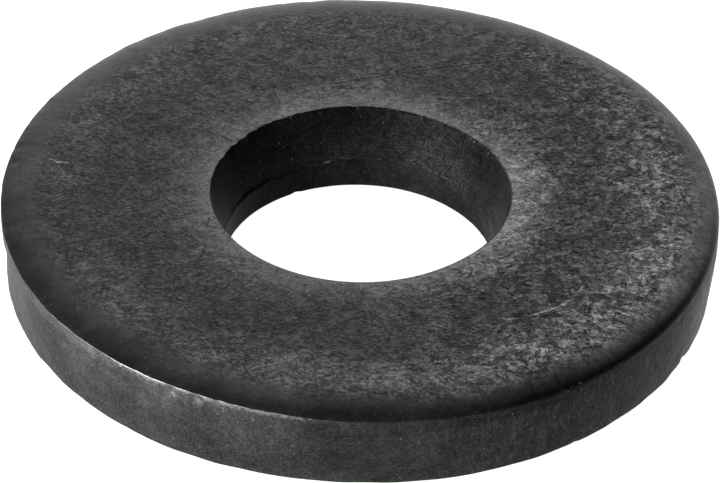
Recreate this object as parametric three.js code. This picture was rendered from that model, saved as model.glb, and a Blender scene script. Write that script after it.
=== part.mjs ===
// Flat washer, thick clamping pattern for an M14 bolt or stud (nominal 15 x 40 x 5): one ring
// punched from steel plate and finished black.
//
// Units are millimetres. +Z is up, the washer lies flat, and the origin is the centre of its
// underside. The press cut the outside from below and the hole from above that face, so each cut
// edge has the bands that shearing leaves: a rolled-over lip where the tool entered, a straight
// burnished land behind it, and a torn zone that leans away from the tool.

import * as THREE from 'three';

// Driving dimensions
const OUTER_DIAMETER = 40;
const THICKNESS = 5;
const HOLE_DIAMETER = 15.1; // the narrowest part, which clears the bolt
const HOLE_MOUTH_DIAMETER = 16.6; // on the upper side, where the torn zone has opened it

// Outer cut edge, from the upper side down
const ROLL_WIDTH = 2.8;
const ROLL_DEPTH = 0.62;
const ROLL_SWEEP = THREE.MathUtils.degToRad(58); // how far round its ellipse the lip turns
const OUTER_LAND_HEIGHT = 1.5;
const OUTER_LEAN = 0.32; // the torn zone's fall towards the axis, at the underside
const FOOT_BREAK = 0.12; // worn corner at the underside

// Hole, from the upper side down
const MOUTH_DISH_WIDTH = 2.6;
const MOUTH_DISH_DEPTH = 0.05;
const MOUTH_ROUNDING = 0.1;
const HOLE_LAND_HEIGHT = 1.75;
const HOLE_LIP = 0.06; // rolled-over lip at the underside

// Facets
const AROUND = 120; // a multiple of four, so that the widths along X and Y are exact
const ROLL_STEPS = 7;
const ROUNDING_STEPS = 2;

// Colour and finish
const BLACK_STEEL = { color: 0x3c3d3f, roughness: 0.48, metalness: 0.75 };

const outerRadius = OUTER_DIAMETER / 2;
const holeRadius = HOLE_DIAMETER / 2;
const mouthRadius = HOLE_MOUTH_DIAMETER / 2;

// Points along a quarter or less of an ellipse, the first one left out. The angle is measured
// from +r towards +z.
function arc(centreR, centreZ, radiusR, radiusZ, fromAngle, toAngle, steps) {
  const curve = new THREE.EllipseCurve(
    centreR, centreZ, radiusR, radiusZ, fromAngle, toAngle, toAngle < fromAngle,
  );
  return curve.getPoints(steps).slice(1);
}

// The outer cut edge, going up: worn corner, torn zone, burnished land, shoulder and rolled lip.
function outerEdge() {
  const shoulderZ = THICKNESS - ROLL_DEPTH;
  const rollAcross = ROLL_WIDTH / Math.sin(ROLL_SWEEP);
  const rollDown = ROLL_DEPTH / (1 - Math.cos(ROLL_SWEEP));
  const top = Math.PI / 2;
  return [
    new THREE.Vector2(outerRadius - OUTER_LEAN - FOOT_BREAK, 0),
    new THREE.Vector2(outerRadius - OUTER_LEAN, FOOT_BREAK),
    new THREE.Vector2(outerRadius, shoulderZ - OUTER_LAND_HEIGHT),
    new THREE.Vector2(outerRadius, shoulderZ),
    ...arc(
      outerRadius - ROLL_WIDTH, THICKNESS - rollDown, rollAcross, rollDown,
      top - ROLL_SWEEP, top, ROLL_STEPS,
    ),
  ];
}

// The hole's wall, going down: dished mouth, rounded rim, torn zone, burnished land and lip.
function holeEdge() {
  const rimZ = THICKNESS - MOUTH_DISH_DEPTH;
  return [
    new THREE.Vector2(mouthRadius + MOUTH_ROUNDING + MOUTH_DISH_WIDTH, THICKNESS),
    new THREE.Vector2(mouthRadius + MOUTH_ROUNDING, rimZ),
    ...arc(
      mouthRadius + MOUTH_ROUNDING, rimZ - MOUTH_ROUNDING, MOUTH_ROUNDING, MOUTH_ROUNDING,
      Math.PI / 2, Math.PI, ROUNDING_STEPS,
    ),
    new THREE.Vector2(holeRadius, HOLE_LAND_HEIGHT),
    new THREE.Vector2(holeRadius, HOLE_LIP),
    ...arc(
      holeRadius + HOLE_LIP, HOLE_LIP, HOLE_LIP, HOLE_LIP,
      Math.PI, 1.5 * Math.PI, ROUNDING_STEPS,
    ),
  ];
}

// The closed section turned about the axis. A lathe turns about Y, so it is laid over to turn
// about Z.
function washerGeometry() {
  const section = [...outerEdge(), ...holeEdge()];
  section.push(section[0].clone());
  return new THREE.LatheGeometry(section, AROUND).rotateX(Math.PI / 2);
}

const washer = new THREE.Mesh(washerGeometry(), new THREE.MeshStandardMaterial(BLACK_STEEL));
washer.name = 'washer';

const flatWasher = new THREE.Group();
flatWasher.name = 'flat_washer';
flatWasher.add(washer);

export default flatWasher;
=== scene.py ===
"""A thick flat washer in blackened steel, on a pale floor.

The CAD washer is a clean body of revolution. This script replaces it with the same section as a
finer mesh that has what punching and tumbling leave: an uneven rolled lip and shoulder, a torn zone
with a wavy edge in the hole, small nicks, and a black oxide finish that is mottled and worn. Its
tone also holds painted light and shade, which change round the washer.
Lengths are in millimetres until a mesh is made, and angles run anticlockwise from +X.
"""

import math

import bpy
import numpy as np
from mathutils import Matrix, Vector


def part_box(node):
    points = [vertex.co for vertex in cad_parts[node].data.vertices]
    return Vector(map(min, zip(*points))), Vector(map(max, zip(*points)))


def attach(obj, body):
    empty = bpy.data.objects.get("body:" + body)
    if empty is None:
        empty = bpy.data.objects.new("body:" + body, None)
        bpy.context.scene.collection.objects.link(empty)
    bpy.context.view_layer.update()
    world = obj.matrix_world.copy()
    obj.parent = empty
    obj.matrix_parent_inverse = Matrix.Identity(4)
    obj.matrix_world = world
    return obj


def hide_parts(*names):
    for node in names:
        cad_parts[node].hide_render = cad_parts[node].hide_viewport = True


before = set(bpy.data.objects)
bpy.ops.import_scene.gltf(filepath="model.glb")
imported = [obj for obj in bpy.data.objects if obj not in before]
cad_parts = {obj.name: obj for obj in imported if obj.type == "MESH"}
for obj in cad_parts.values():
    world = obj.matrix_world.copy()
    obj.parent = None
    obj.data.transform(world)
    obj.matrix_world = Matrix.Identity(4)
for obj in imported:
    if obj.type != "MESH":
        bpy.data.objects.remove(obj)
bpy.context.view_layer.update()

MM = 0.001
TAU = 2 * math.pi

# ---------------------------------------------------------------- sizes taken from the frame

lowest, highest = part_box("washer")
OUTER_RADIUS = (highest.x - lowest.x) / 2 / MM
THICKNESS = (highest.z - lowest.z) / MM
cad_points = np.array([v.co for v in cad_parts["washer"].data.vertices]) / MM
HOLE_RADIUS = float(np.hypot(cad_points[:, 0], cad_points[:, 1]).min())

# ---------------------------------------------------------------- the section, close to the CAD's

ROLL_WIDTH = 2.8
ROLL_DEPTH = 0.62
OUTER_LEAN = 0.32
FOOT_BREAK = 0.12
MOUTH_FLARE = 0.78  # how much the torn zone opens the hole, before its uneven rim takes some back
DISH_WIDTH = 3.2  # wider than the CAD's: the pale ring round the hole fades out over it
DISH_DEPTH = 0.05
HOLE_LAND_HEIGHT = 1.75
HOLE_LIP = 0.06
RIM_FOOT = 4.4  # the height where the mouth's rim passes into the hole's torn zone

# ---------------------------------------------------------------- mesh resolution

AROUND_OUTSIDE = 960
AROUND_HOLE = AROUND_OUTSIDE // 2
SEAM_RADIUS = 12.5  # where the outer rows meet the hole's rows, which have half the points
SEAM_STEP = 0.3


def mix(a, b, share):
    return a + (b - a) * share


def smooth(x):
    x = np.clip(x, 0, 1)
    return x * x * (3 - 2 * x)


def around(theta, *values):
    """A value that changes steadily round the washer, given at even steps from +X."""
    steps = np.linspace(0, 360, len(values), endpoint=False)
    return np.interp(np.degrees(theta), steps, values, period=360)


def window(theta, centre, half_width, fade):
    """1 within half_width of an angle, fading to 0 over fade. All in degrees."""
    away = np.abs((np.degrees(theta) - centre + 180) % 360 - 180)
    return 1 - smooth((away - half_width) / fade)


def window_of(value, low, high, fade):
    """1 from low to high, fading to 0 over fade on both sides."""
    return smooth((value - low) / fade + 1) * smooth((high - value) / fade + 1)


def ring_noise(theta, along, cells_round, seed):
    """Smooth noise from -1 to 1 that closes on itself round the ring. along counts cells."""
    cells_along = 64
    table = np.random.default_rng(seed).uniform(-1, 1, (cells_round, cells_along))
    u = theta / TAU * cells_round
    i, j = np.floor(u).astype(int), np.floor(along).astype(int)
    share_u, share_v = smooth(u - i), smooth(along - j)

    def corner(di, dj):
        return table[(i + di) % cells_round, (j + dj) % cells_along]

    near = mix(corner(0, 0), corner(1, 0), share_u)
    far = mix(corner(0, 1), corner(1, 1), share_u)
    return mix(near, far, share_v)


def ring_wave(theta, cells_round, seed):
    return ring_noise(theta, np.zeros_like(theta), cells_round, seed)


class Strip:
    """Rows of points round the washer, with a mark for each zone at every point."""

    MARKS = ("cut", "roll", "mouth", "torn", "hole", "wear")

    def __init__(self, count):
        self.theta = np.arange(count) * TAU / count
        self.rows = []

    def add(self, radius, height, **marks):
        row = [np.broadcast_to(radius, self.theta.shape), np.broadcast_to(height, self.theta.shape)]
        row += [np.broadcast_to(marks.get(m, 0.0), self.theta.shape) for m in self.MARKS]
        self.rows.append(np.array(row, float))

    def line(self, start, end, count, **marks):
        """Rows from start up to, but not including, end. Each is (radius, height)."""
        for share in np.arange(count) / count:
            at = {m: mix(v[0], v[1], share) if isinstance(v, tuple) else v for m, v in marks.items()}
            self.add(mix(start[0], end[0], share), mix(start[1], end[1], share), **at)

    def table(self):
        return np.array(self.rows).transpose(1, 0, 2)


def outside_strip():
    """From the underside's seam outwards, up the outer edge and inwards to the top face's seam."""
    s = Strip(AROUND_OUTSIDE)
    t = s.theta
    soft = window(t, -20, 50, 60)
    lower = window(t, -32, 22, 35)
    worn = window(t, -114, 11, 20)
    ragged = 0.02 * ring_wave(t, 240, 11) + 0.015 * ring_wave(t, 96, 12)
    roll_depth = ROLL_DEPTH + 0.02 * ring_wave(t, 9, 13) + 0.25 * lower
    roll_depth = roll_depth - 0.14 * window(t, -118, 8, 24) + ragged * (1 - 0.7 * soft)
    roll_depth += 0.12 * window(t, 38, 8, 22)
    roll_width = ROLL_WIDTH + 0.08 * ring_wave(t, 11, 14) - 0.6 * soft
    sweep = np.radians(mix(58, 86, soft))
    shoulder = THICKNESS - roll_depth
    burr = 0.24 * window(t, 187, 5, 18) + 0.03 * window(t, 210, 20, 14) * (1 + 0.5 * ring_wave(t, 150, 15))
    burr_foot = shoulder - 0.6 - 0.1 * ring_wave(t, 30, 16) - 0.08 * ring_wave(t, 120, 20)
    lean = OUTER_LEAN + around(t, 0.05, 0, 0, 0, 0, 0, 0, -0.03, -0.07, 0, -0.07, -0.03)
    fullness = mix(2.2, 1.2, window(t, -6, 10, 20) + window(t, 188, 10, 20))
    foot = OUTER_RADIUS - lean + 0.012 * ring_wave(t, 40, 17)
    edge = OUTER_RADIUS - 0.02 + 0.02 * ring_wave(t, 120, 18) * (1 - soft)
    corner = FOOT_BREAK * (1 + 0.3 * ring_wave(t, 90, 19))
    s.line((SEAM_RADIUS, 0), (foot - corner, 0), 4)
    s.line((foot - corner, 0), (foot, corner), 3, cut=(0, 1))
    for share in np.arange(18) / 18:
        bulge = 1 - (1 - share) ** fullness
        height = mix(corner, burr_foot - 0.1, share)
        s.add(mix(foot, edge - burr, bulge), height, cut=1, torn=1 - 0.5 * share, wear=0.25 * worn * share**3)
    # Painted highlight: a ragged pale line of bare metal along the burr's foot on the left.
    fold_highlight = 0.62 * window(t, 207, 14, 10) * smooth(0.8 + ring_wave(t, 200, 27))
    s.line((edge - burr, burr_foot - 0.1), (edge, burr_foot), 2, cut=1, torn=0.5, wear=worn * 0.3 + fold_highlight)
    s.line((edge, burr_foot), (edge, shoulder - 0.18), 5, cut=1, torn=0.5, wear=(worn * 0.3, worn * 0.66))
    s.line((edge, shoulder - 0.18), (edge, shoulder), 4, cut=1, torn=0.5, wear=(worn * 0.8, worn * 1.1))
    across = roll_width / np.sin(sweep)
    down = roll_depth / (1 - np.cos(sweep))
    roll_rows = 16
    for share in (np.arange(roll_rows) / roll_rows) ** 1.3:
        turn = sweep * (1 - share)
        s.add(
            edge - roll_width + across * np.sin(turn),
            THICKNESS - down + down * np.cos(turn),
            roll=1 - smooth((share - mix(0.55, 0.45, soft)) / mix(0.45, 0.55, soft)),
            wear=worn * max(0, 0.9 - share * 10),
        )
    s.line((edge - roll_width, THICKNESS), (SEAM_RADIUS, THICKNESS), 16)
    s.add(SEAM_RADIUS, THICKNESS)
    return s


def hole_strip():
    """From the top face's seam inwards, down the hole and outwards to the underside's seam."""
    s = Strip(AROUND_HOLE)
    t = s.theta
    jagged = window(t, 140, 25, 20)
    fading = window(t, 15, 35, 45)
    rim = 0.06 + 0.2 * window(t, 0, 25, 35)
    wander = around(t, -0.06, -0.10, 0.0, -0.03, 0.0, -0.02, -0.05, -0.2)
    jags = jagged * (0.045 * ring_wave(t, 210, 21) + 0.03 * ring_wave(t, 90, 22))
    clean_mouth = HOLE_RADIUS + MOUTH_FLARE + wander
    mouth = clean_mouth + jags
    land_top = HOLE_LAND_HEIGHT + 0.3 * ring_wave(t, 13, 23)
    land_top = land_top + 0.15 * ring_wave(t, 37, 24) + 0.06 * ring_wave(t, 110, 25)
    ledge = 0.02 + 0.04 * window(t, 155, 20, 30) * (1 + 0.6 * ring_wave(t, 50, 26))
    rim_height = THICKNESS - DISH_DEPTH
    s.line((SEAM_RADIUS - SEAM_STEP, THICKNESS), (mouth + rim + DISH_WIDTH, THICKNESS), 3)
    for share in np.arange(14) / 14:
        s.add(
            mix(mouth + rim + DISH_WIDTH, mouth + rim, share),
            THICKNESS - DISH_DEPTH * share**2,
            mouth=share**1.5,
        )
    for turn in np.radians(np.linspace(0, 90, 6)):
        s.add(
            mouth + rim * (1 - np.sin(turn)),
            rim_height - rim * (1 - np.cos(turn)),
            mouth=1,
            cut=smooth(turn / math.radians(45)),
            torn=1,
            hole=1,
        )
    below_rim = mix(clean_mouth, HOLE_RADIUS + ledge, 0.15)
    s.line((mouth, rim_height - rim), (below_rim, RIM_FOOT), 6, cut=1, torn=1, hole=1)
    ledge_top = (HOLE_RADIUS + ledge, land_top + 0.1)
    s.line((below_rim, RIM_FOOT), ledge_top, 18, cut=1, torn=1, hole=1)
    burnt = 0.66 * window(t, 78, 28, 15) * (1 + 0.25 * ring_wave(t, 170, 28))
    s.line(ledge_top, (HOLE_RADIUS, land_top), 4, cut=1, torn=(1, fading), hole=1, wear=burnt)
    s.line((HOLE_RADIUS, land_top), (HOLE_RADIUS, HOLE_LIP), 8, cut=1, torn=(fading, 0), hole=1)
    for turn in np.radians(np.linspace(0, 90, 5)):
        s.add(
            HOLE_RADIUS + HOLE_LIP * (1 - np.cos(turn)),
            HOLE_LIP * (1 - np.sin(turn)),
            cut=1 - turn / math.radians(90),
            hole=1 - turn / math.radians(90),
        )
    s.line((HOLE_RADIUS + HOLE_LIP, 0), (SEAM_RADIUS - SEAM_STEP, 0), 4)
    s.add(SEAM_RADIUS - SEAM_STEP, 0)
    return s


def quads(first, second, count):
    """Faces between two rows of the same length, given each row's first vertex."""
    i = np.arange(count)
    j = (i + 1) % count
    return np.stack([first + i, first + j, second + j, second + i], axis=1)


def stitch(dense, sparse, count):
    """Triangles from a row to one with half its points. count is the sparse row's length."""
    i = np.arange(count)
    j = (i + 1) % count
    middle = dense + 2 * i + 1
    last = dense + (2 * i + 2) % (2 * count)
    left = np.stack([dense + 2 * i, middle, sparse + i], axis=1)
    centre = np.stack([middle, sparse + j, sparse + i], axis=1)
    right = np.stack([middle, last, sparse + j], axis=1)
    return np.concatenate([left, centre, right])


# Nicks in the washer: angle, radius and height of each one's centre, then its size and depth.
NICKS = (
    (-119.5, 20.0, 4.20, 0.32, 0.13),
    (-115, 20.0, 4.22, 0.30, 0.14),
    (-111.5, 20.0, 4.32, 0.30, 0.07),
    (-24.4, 19.7, 0.10, 0.26, 0.11),
    (-53, 19.7, 0.05, 0.25, 0.06),
    (172.5, 19.6, 4.6, 0.30, 0.07),
    (119, 7.7, 0.10, 0.25, 0.10),
    (93, 8.4, 4.85, 0.16, 0.14),
)


def dents(theta, r, z):
    """How far the nicks sink each point of a strip."""
    sunk = np.zeros_like(r)
    for angle, radius, height, size, depth in NICKS:
        across = radius * ((theta - math.radians(angle) + math.pi) % TAU - math.pi)
        away = (across**2 + (r - radius) ** 2 + (z - height) ** 2) / size**2
        sunk += depth * np.exp(-away)
    return sunk


def roughen(strip):
    """The strip's radii and heights, pushed in and out along the section's normal."""
    r, z, cut, _, _, torn, hole, _ = strip.table()
    theta = np.broadcast_to(strip.theta, r.shape)
    dr, dz = np.gradient(r, axis=0), np.gradient(z, axis=0)
    length = np.hypot(dr, dz)
    plate = 0.010 * ring_noise(theta, r / 4.0, 24, 31) + 0.004 * ring_noise(theta, r / 1.3, 72, 32)
    scoring = 0.006 * ring_noise(theta, z / 1.6, 300, 33) + 0.008 * ring_noise(theta, z / 2.5, 70, 34)
    tearing = 0.018 * ring_noise(theta, z / 0.5, 150, 35) + 0.012 * ring_noise(theta, z / 0.25, 330, 36)
    tearing = tearing * np.clip((THICKNESS - 0.1 - z) / 0.5, 0, 1)
    tearing = tearing * (1 - 0.75 * hole * window(theta, 160, 25, 25))
    push = (1 - cut) * plate + cut * mix(scoring, tearing, torn) - dents(theta, r, z)
    return r + push * dz / length, z - push * dr / length


# How much light the finish sends back in each zone, before the steps round the washer. The hole's
# tone is set low, partly as painted shade inside the hole.
FACE_TONE = 0.0258
OUTSIDE_TONE = 0.024
HOLE_TONE = 0.0165


def tones(theta, r, z, marks):
    """How much light the finish sends back, zone by zone, with values at even steps from +X.

    The steps follow how bright each zone looks, so they hold painted light and shade as well as wear:
    the hole's left wall is painted dark as shade, the hole's back wall is lighter low down, the outer
    wall's steps change twelvefold round the washer, the top face's ring round the hole and its outer
    band are painted lighter or darker by angle, and a band of painted shade lies under the lip at the
    front right.
    """
    cut, roll, mouth, torn, hole, wear = marks
    face = FACE_TONE * around(theta, 1.15, 0.86, 0.76, 0.95, 1.13, 0.91, 0.76, 0.96, 0.93, 0.78, 0.96, 1.05)
    # The top face is rubbed lighter in its outer band and is paler in the ring round the hole; these steps
    # round the washer, and the roll's, are partly painted light and shade.
    rubbed = around(theta, 2.05, 1.6, 1.35, 1.37, 1.38, 1.58, 1.68, 1.3, 1.7, 2.7, 2.7, 3.0)
    face = face * mix(1, rubbed, smooth((r - 14.0) / 3))
    face = face * mix(1, around(theta, 5.4, 6.0, 4.2, 3.0, 3.9, 2.9, 3.5, 4.5), mouth)
    face = face * mix(1, around(theta, 0.76, 0.75, 0.7, 0.85, 1.2, 1.0, 0.68, 0.93), roll)
    outside = OUTSIDE_TONE * around(theta, 3.1, 1.2, 1.0, 1.0, 1.0, 1.0, 1.2, 1.05, 1.35, 1.25, 0.68, 0.25)
    # Painted shade: a dark band under the lip at the front right, on the outer wall and the roll above it.
    shade = 0.45 * window(theta, -32, 30, 30) + 0.4 * window(theta, -14, 12, 14)
    shade = 1 - shade * window_of(z, 3.7, 4.35, 0.3)
    outside = outside * (1 + 6 * dents(theta, r, z))
    outside = outside * (1 + 0.8 * np.minimum(wear, 0.5) + 0.5 * window(theta, 204, 20, 14) * (z > 3.8))
    # The hole's wall steps hold painted shade: about a tenth of the tone on its left, round 150 to 180
    # degrees.
    torn_hole = HOLE_TONE * around(theta, 1.7, 0.92, 1.2, 1.35, 0.7, 0.13, 0.2, 1.0, 1.0, 1.0, 1.0, 1.0)
    torn_hole = torn_hole * mix(1, mix(1.9, 0.55, smooth((z - 1.6) / 3)), window(theta, 62, 30, 30))
    land_hole = HOLE_TONE * around(theta, 1.2, 1.4, 2.4, 1.2, 0.3, 0.1, 0.3, 1.0, 1.0, 1.0, 1.0, 1.0)
    outside = outside * shade
    face = mix(face * shade, outside, smooth((THICKNESS - 0.4 - z) / 0.3) * (z > THICKNESS / 2))
    return mix(face, mix(outside, mix(land_hole, torn_hole, torn), hole), cut)


def washer_mesh():
    points, marks, faces = [], [], []
    for strip in (outside_strip(), hole_strip()):
        r, z = roughen(strip)
        theta = np.broadcast_to(strip.theta, r.shape)
        marks_here = strip.table()[2:]
        extra = np.stack([window(theta, -8, 38, 50), tones(theta, r, z, marks_here)])
        x, y = r * np.cos(strip.theta), r * np.sin(strip.theta)
        first = sum(len(p) for p in points)
        count = len(strip.theta)
        for k in range(len(strip.rows) - 1):
            faces += quads(first + k * count, first + (k + 1) * count, count).tolist()
        points.append(np.stack([x, y, z], axis=-1).reshape(-1, 3))
        marks.append(np.concatenate([marks_here, extra]).reshape(len(Strip.MARKS) + 2, -1))
    hole_top = len(points[0])
    hole_bottom = hole_top + len(points[1]) - AROUND_HOLE
    faces += stitch(len(points[0]) - AROUND_OUTSIDE, hole_top, AROUND_HOLE).tolist()
    faces += stitch(0, hole_bottom, AROUND_HOLE)[:, ::-1].tolist()
    mesh = bpy.data.meshes.new("washer_body")
    mesh.from_pydata((np.concatenate(points) * MM).tolist(), [], faces)
    mesh.shade_smooth()
    for name, values in zip(Strip.MARKS + ("coarse", "tone"), np.concatenate(marks, axis=1)):
        layer = mesh.attributes.new(name, "FLOAT", "POINT")
        layer.data.foreach_set("value", values.astype(np.float32))
    return mesh


# ---------------------------------------------------------------- black oxide steel


class Tree:
    """A material's nodes, made one line at a time. A value may be a number, a vector or a socket."""

    def __init__(self, tree):
        self.tree = tree

    def node(self, kind, inputs=(), **settings):
        made = self.tree.nodes.new("ShaderNode" + kind)
        for name, value in settings.items():
            setattr(made, name, value)
        for key, value in dict(inputs).items():
            if isinstance(value, bpy.types.NodeSocket):
                self.tree.links.new(value, made.inputs[key])
            else:
                made.inputs[key].default_value = value
        return made

    def math(self, operation, *values):
        return self.node("Math", enumerate(values), operation=operation).outputs[0]

    def add(self, a, b):
        return self.math("ADD", a, b)

    def times(self, a, b):
        return self.math("MULTIPLY", a, b)

    def mix(self, share, a, b):
        return self.node("Mix", {0: share, 2: a, 3: b}, data_type="FLOAT").outputs[0]

    def ramp(self, value, low, high, to_low=0.0, to_high=1.0):
        """value carried smoothly from low..high to to_low..to_high, and held outside."""
        inputs = {0: value, 1: low, 2: high, 3: to_low, 4: to_high}
        return self.node("MapRange", inputs, interpolation_type="SMOOTHSTEP").outputs[0]

    def contour(self, value, level, half_width):
        """1 where the value passes through a level, falling to 0 at half_width on each side."""
        away = self.math("ABSOLUTE", self.math("SUBTRACT", value, level))
        return self.ramp(away, 0.0, half_width, 1.0, 0.0)

    def vector(self, operation, *values):
        return self.node("VectorMath", enumerate(values), operation=operation)

    def mark(self, name):
        return self.node("Attribute", attribute_name=name).outputs["Fac"]

    def noise(self, place, size, detail=2.0, roughness=0.5, distortion=0.0):
        """Noise whose blobs are about size millimetres along X, Y and Z."""
        inputs = {
            "Vector": self.vector("DIVIDE", place, size).outputs[0], "Scale": 1.0,
            "Detail": detail, "Roughness": roughness, "Distortion": distortion,
        }
        return self.node("TexNoise", inputs).outputs["Fac"]


# Scratches in the top face: half width, strength and the points each one runs through. A negative
# strength is a dark groove and a positive one is rubbed pale.
SCRATCHES = (
    (0.050, -1.3, ((-1.7, 10.5), (4.6, 12.4), (11.3, 14.0))),
    (0.045, 0.7, ((-1.6, 10.65), (4.7, 12.55), (11.4, 14.15))),
    (0.055, -1.0, ((-14.8, 4.6), (-13.5, 2.5))),
    (0.050, 2.0, ((-17.4, 2.4), (-17.0, 2.1), (-16.4, 2.05))),
    (0.060, 2.2, ((8.1, -11.4), (9.0, -11.2), (9.4, -11.0))),
    (0.060, 1.3, ((9.4, -11.0), (10.4, -10.45), (11.3, -9.8))),
    (0.060, 0.9, ((11.3, -9.8), (11.8, -9.1), (12.5, -7.7))),
    (0.045, 0.8, ((10.2, -9.2), (10.6, -10.5))),
    (0.060, -1.5, ((12.35, -9.7), (12.3, -10.6))),
    (0.050, -1.2, ((12.6, -9.8), (12.5, -10.7))),
    (0.055, -1.3, ((13.95, -10.5), (13.85, -11.3))),
    (0.050, -0.9, ((12.4, -14.3), (12.45, -14.9))),
    (0.050, -0.8, ((9.2, -17.6), (9.45, -17.0))),
    (0.060, -1.8, ((-7.9, 5.0), (-7.25, 4.55))),
    (0.050, -1.5, ((-8.3, -2.8), (-8.4, -3.5))),
    (0.050, -1.2, ((-10.7, -1.2), (-9.9, -2.0))),
    (0.050, -0.7, ((-10.1, -1.6), (-9.6, -2.2))),
    (0.070, -1.7, ((6.2, -7.0), (6.05, -7.6))),
    (0.060, -1.5, ((6.75, -6.2), (6.95, -6.55))),
    (0.080, -1.5, ((7.8, -5.9), (8.45, -5.4))),
)


def scratch(tree, flat_place, start, end, half_width):
    """1 on a straight line across the face, 0 away from it."""
    (x0, y0), (x1, y1) = start, end
    along = (x1 - x0, y1 - y0, 0)
    from_start = tree.vector("SUBTRACT", flat_place, (x0, y0, 0)).outputs[0]
    reach = tree.vector("DOT_PRODUCT", from_start, along).outputs["Value"]
    share = tree.math("DIVIDE", reach, along[0] ** 2 + along[1] ** 2)
    share = tree.math("MINIMUM", tree.math("MAXIMUM", share, 0.0), 1.0)
    nearest = tree.node("VectorMath", {0: along, "Scale": share}, operation="SCALE").outputs[0]
    away = tree.vector("DISTANCE", from_start, nearest).outputs["Value"]
    return tree.ramp(away, half_width * 0.4, half_width * 1.2, 1.0, 0.0)


def scratches(tree, place):
    """How much the scratches darken or lighten the top face."""
    flat_place = tree.vector("MULTIPLY", place, (1, 1, 0)).outputs[0]
    total = 0.0
    for half_width, strength, points in SCRATCHES:
        line = 0.0
        for start, end in zip(points, points[1:]):
            line = tree.math("MAXIMUM", line, scratch(tree, flat_place, start, end, half_width))
        total = tree.add(total, tree.times(line, strength))
    height = tree.node("SeparateXYZ", {0: place}).outputs["Z"]
    return tree.times(total, tree.math("GREATER_THAN", height, THICKNESS / 2))


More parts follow.
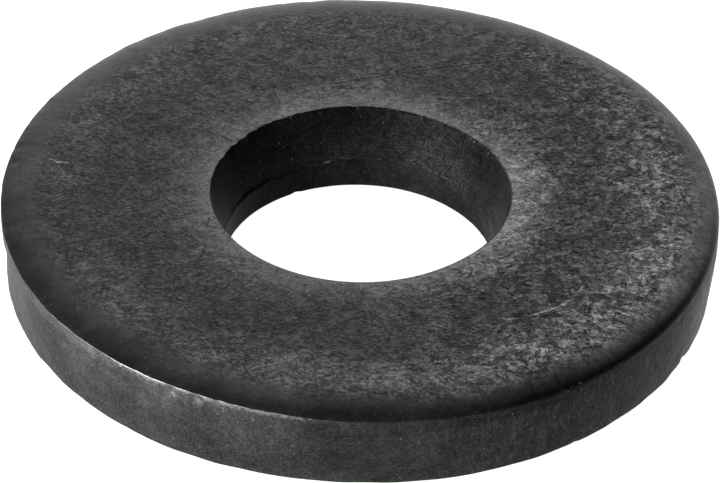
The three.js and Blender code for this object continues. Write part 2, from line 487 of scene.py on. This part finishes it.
def black_oxide_steel():
    material = bpy.data.materials.new("black_oxide_steel")
    material.use_nodes = True
    tree = Tree(material.node_tree)
    material.node_tree.nodes.clear()
    place = tree.node("TexCoord").outputs["Object"]
    place = tree.node("VectorMath", {0: place, "Scale": 1 / MM}, operation="SCALE").outputs[0]
    cut, roll, mouth = tree.mark("cut"), tree.mark("roll"), tree.mark("mouth")
    torn, hole, wear = tree.mark("torn"), tree.mark("hole"), tree.mark("wear")

    # Pickled plate: fine wrinkles of a fraction of a millimetre, and patches of some millimetres
    fine = tree.noise(place, (0.24, 0.22, 0.22), 2, 0.8, 0.2)
    broad = tree.noise(place, (0.9, 0.8, 0.8), 2, 0.8, 0.3)
    patches = tree.noise(place, (4.5, 3.5, 4.0), 4, 0.75)
    grain = tree.noise(place, (0.10, 0.10, 0.10), 1, 0.6)
    scoring = tree.noise(place, (0.22, 0.22, 1.6), 2, 0.7)
    tearing = tree.noise(place, (0.22, 0.22, 0.16), 3, 0.9)
    mottle = tree.noise(place, (0.9, 0.9, 0.6), 3, 0.7, 0.5)

    # Broken dark cracks and pale ridges, where two noises pass through a level
    splits = tree.noise(place, (0.75, 0.6, 0.6), 2, 0.5, 1.2)
    creases = tree.noise(place, (0.50, 0.40, 0.4), 1, 0.5, 0.8)
    broken = tree.ramp(tree.noise(place, (0.9, 0.7, 0.7), 1, 0.5), 0.42, 0.56)
    crack = tree.times(tree.contour(splits, 0.47, 0.05), broken)
    crease = tree.times(tree.contour(creases, 0.52, 0.06), tree.math("SUBTRACT", 1.0, broken))
    vein = tree.contour(splits, 0.56, 0.03)
    dark_lines = tree.math("MAXIMUM", crack, tree.times(crease, 0.8))

    coarse = tree.mark("coarse")
    smoothed = tree.math("MAXIMUM", tree.times(roll, 0.75), tree.times(mouth, 0.75))
    contrast = tree.times(tree.mix(coarse, 0.62, 1.0), tree.math("SUBTRACT", 1.0, smoothed))
    rubbed = tree.math("MAXIMUM", tree.times(roll, 0.75), tree.times(mouth, 0.4))
    line_contrast = tree.times(tree.mix(coarse, 0.55, 1.0), tree.math("SUBTRACT", 1.0, rubbed))
    medium = tree.noise(place, (0.42, 0.36, 0.36), 2, 0.7, 0.4)
    fine = tree.mix(tree.times(coarse, 0.5), fine, medium)
    wrinkles = tree.add(tree.times(fine, 0.6), tree.times(broad, 0.4))
    lines = tree.add(tree.times(vein, 0.7), tree.times(dark_lines, -2.3))
    plate_swing = tree.times(tree.ramp(wrinkles, 0.39, 0.61, -1.1, 1.1), contrast)
    plate_swing = tree.add(plate_swing, tree.times(lines, line_contrast))
    plate_swing = tree.add(plate_swing, scratches(tree, place))
    score_depth = tree.mix(hole, 0.3, 0.2)
    scuffs = tree.contour(tree.noise(place, (0.45, 0.45, 1.5), 1, 0.5, 0.7), 0.5, 0.07)
    scuffs = tree.times(scuffs, coarse)
    land_swing = tree.times(tree.ramp(scoring, 0.3, 0.7, -1.0, 1.0), score_depth)
    land_swing = tree.add(land_swing, tree.ramp(tearing, 0.35, 0.65, -0.3, 0.3))
    torn_swing = tree.add(tree.ramp(tearing, 0.37, 0.63, -0.4, 0.4), tree.ramp(grain, 0.3, 0.7, -0.35, 0.35))
    wall_swing = tree.mix(torn, land_swing, torn_swing)
    wall_swing = tree.add(wall_swing, tree.ramp(mottle, 0.35, 0.65, -0.14, 0.14))
    wall_swing = tree.add(wall_swing, tree.times(scuffs, tree.mix(hole, 0.75, 0.0)))
    swing = tree.mix(cut, plate_swing, wall_swing)

    # How much light the oxide sends back, from the tone mark, which also brings painted light and shade
    tone = tree.mark("tone")
    patch_depth = tree.mix(mouth, 0.32, 0.16)
    tone = tree.times(tone, tree.add(1.0, tree.times(tree.ramp(patches, 0.3, 0.7, -1.0, 1.0), patch_depth)))
    tone = tree.times(tone, tree.math("POWER", 2.0, tree.times(swing, 1.25)))
    tone = tree.times(tone, tree.add(0.85, tree.times(grain, 0.3)))
    speck_level = tree.mix(mouth, 0.79, 0.72)
    specks = tree.noise(place, (0.16, 0.14, 0.14), 0, 0.5)
    specks = tree.ramp(specks, speck_level, tree.add(speck_level, 0.06))
    chips = tree.noise(place, (0.25, 0.25, 0.12), 3, 0.7)
    # The wear mark brings bare metal at worn edges, and a painted highlight line along the burr's foot on the
    # left.
    worn_through_and_highlight = tree.add(wear, tree.times(tree.math("SUBTRACT", chips, 0.5), 1.6))
    bare_and_highlight = tree.math("MAXIMUM", tree.ramp(worn_through_and_highlight, 0.65, 0.95), tree.times(specks, 0.6))
    tone = tree.mix(bare_and_highlight, tone, 0.15)
    blued = tree.math("MAXIMUM", mouth, tree.times(tree.times(roll, coarse), 0.35))
    blue = tree.times(tone, tree.mix(blued, 1.0, 1.07))
    colour = tree.node("CombineColor", {0: tone, 1: tone, 2: blue}).outputs[0]

    # Painted shade: the hole's walls send back less light at grazing angles.
    grazing = tree.mix(hole, 1.0, 0.8)
    tint = tree.node("CombineColor", {0: grazing, 1: grazing, 2: grazing}).outputs[0]
    roughness = tree.add(tree.mix(cut, 0.42, 0.58), tree.times(swing, -0.06))
    height = tree.add(tree.times(swing, 0.006), tree.times(grain, 0.003))
    bump = tree.node("Bump", {"Height": height, "Strength": 1.0, "Distance": MM}).outputs[0]
    inputs = {
        "Base Color": colour, "Metallic": 1.0, "Roughness": roughness, "Normal": bump,
        "Specular Tint": tint,
    }
    shader = tree.node("BsdfPrincipled", inputs)
    tree.node("OutputMaterial", {"Surface": shader.outputs[0]})
    return material


def make_washer():
    washer = bpy.data.objects.new("washer_body", washer_mesh())
    bpy.context.scene.collection.objects.link(washer)
    washer.data.materials.append(black_oxide_steel())
    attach(washer, "root")
    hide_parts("washer")


# ---------------------------------------------------------------- floor, light and camera


FLOOR_HALF = 1.5
FLOOR_DROP = 0.02 * MM  # how far the floor lies under the washer, so that they don't touch


def make_floor():
    half = FLOOR_HALF
    mesh = bpy.data.meshes.new("floor")
    corners = [(-half, -half, 0), (half, -half, 0), (half, half, 0), (-half, half, 0)]
    mesh.from_pydata(corners, [], [(0, 1, 2, 3)])
    floor = bpy.data.objects.new("floor", mesh)
    floor.location.z = -FLOOR_DROP
    bpy.context.scene.collection.objects.link(floor)
    material = bpy.data.materials.new("pale_floor")
    material.use_nodes = True
    shader = material.node_tree.nodes["Principled BSDF"]
    shader.inputs["Base Color"].default_value = (0.6, 0.6, 0.6, 1)
    shader.inputs["Roughness"].default_value = 0.9
    shader.inputs["Specular IOR Level"].default_value = 0.0
    shader.inputs["Emission Color"].default_value = (1, 1, 1, 1)
    shader.inputs["Emission Strength"].default_value = 0.97
    mesh.materials.append(material)


def towards(azimuth, elevation):
    """The direction to something seen from the washer. Both are in degrees."""
    a, e = math.radians(azimuth), math.radians(elevation)
    return Vector((math.cos(a) * math.cos(e), math.sin(a) * math.cos(e), math.sin(e)))


def make_world():
    """A grey surround, pale at the horizon and darker overhead, with a soft glow behind."""
    world = bpy.data.worlds.new("studio")
    world.use_nodes = True
    bpy.context.scene.world = world
    tree = Tree(world.node_tree)
    world.node_tree.nodes.clear()
    direction = tree.node("TexCoord").outputs["Generated"]
    height = tree.node("SeparateXYZ", {0: direction}).outputs["Z"]
    horizon = tree.ramp(height, 0.03, 0.1, 0.7, 0.0)
    sides = tree.ramp(height, 0.65, 0.95, 0.3, 0.23)

    def away_from(azimuth, elevation):
        facing = tree.vector("DOT_PRODUCT", direction, towards(azimuth, elevation)).outputs["Value"]
        return tree.math("ARCCOSINE", facing)

    screen = tree.ramp(away_from(12, 20), math.radians(25), math.radians(55), 0.2, 1.0)
    glow = tree.ramp(away_from(81, 29), math.radians(22), math.radians(42), 1.48, 0.0)
    level = tree.add(horizon, tree.add(tree.times(sides, screen), glow))
    background = tree.node("Background", {"Color": (1, 1, 1, 1), "Strength": level})
    tree.node("OutputWorld", {"Surface": background.outputs[0]})


KEY_PLACE = (203, 6)  # azimuth and elevation
KEY_DISTANCE = 0.15
KEY_SIZE = (0.12, 0.06)
KEY_POWER = 0.82


def make_key_light():
    """A long low soft box on the left."""
    data = bpy.data.lights.new("key", "AREA")
    data.shape = "RECTANGLE"
    data.size, data.size_y = KEY_SIZE
    data.energy = KEY_POWER
    light = bpy.data.objects.new("key", data)
    light.location = towards(*KEY_PLACE) * KEY_DISTANCE
    light.rotation_euler = towards(*KEY_PLACE).to_track_quat("Z", "Y").to_euler()
    light.visible_camera = False
    bpy.context.scene.collection.objects.link(light)


CAMERA_ELEVATION = math.radians(35.85)
CAMERA_DISTANCE = 16 * OUTER_RADIUS * MM
CAMERA_LENS = 287.95
CAMERA_ROLL = math.radians(1.48)
AIM_BELOW = 0.138 * OUTER_RADIUS * MM  # how far under the top face's centre the picture's centre is
AIM_ASIDE = 0.0022 * OUTER_RADIUS * MM


def make_camera():
    data = bpy.data.cameras.new("camera")
    data.lens = CAMERA_LENS
    data.sensor_width = 36
    data.clip_start = 0.01
    data.clip_end = 10
    camera = bpy.data.objects.new("camera", data)
    bpy.context.scene.collection.objects.link(camera)
    back = Vector((0, -math.cos(CAMERA_ELEVATION), math.sin(CAMERA_ELEVATION)))
    up = Vector((0, math.sin(CAMERA_ELEVATION), math.cos(CAMERA_ELEVATION)))
    top_centre = Vector((0, 0, THICKNESS * MM))
    aside = Vector((AIM_ASIDE, 0, 0))
    camera.location = top_centre + back * CAMERA_DISTANCE + aside
    look = (top_centre - up * AIM_BELOW + aside - camera.location).normalized()
    turn = (-look).to_track_quat("Z", "Y").to_matrix().to_4x4()
    turn = turn @ Matrix.Rotation(CAMERA_ROLL, 4, "Z")
    camera.matrix_world = Matrix.Translation(camera.location) @ turn
    bpy.context.scene.camera = camera


def make_studio():
    make_floor()
    make_world()
    make_key_light()
    make_camera()
    bpy.context.scene.view_settings.view_transform = "Standard"


make_washer()
make_studio()
